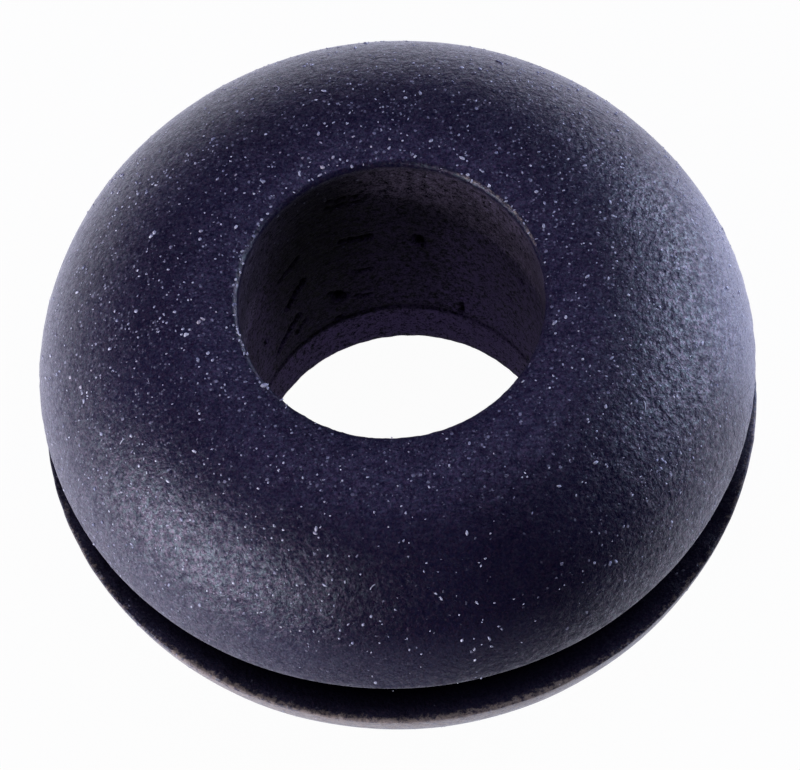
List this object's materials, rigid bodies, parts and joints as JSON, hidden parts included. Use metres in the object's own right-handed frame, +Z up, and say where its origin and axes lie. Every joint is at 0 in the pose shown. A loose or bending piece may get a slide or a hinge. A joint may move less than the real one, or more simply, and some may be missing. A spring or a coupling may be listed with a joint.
{
  "type": "rubber grommet",
  "caption": "Round moulded rubber grommet: two fat rounded beads with a panel groove between them and a straight bore for a cable.",
  "frame": {"origin": "centre of the lower bead's resting circle, on the axis of the bore", "axes": "+Z up along the axis of the bore; the ring is the same all the way round, so X and Y are free"},
  "size_m": [0.0142, 0.0142, 0.0075],
  "materials": {
    "rubber": "matte, with a fine moulded grain and pale talc dust"
  },
  "bodies": {
    "root": {"grommet": "rubber"}
  },
  "joints": []
}
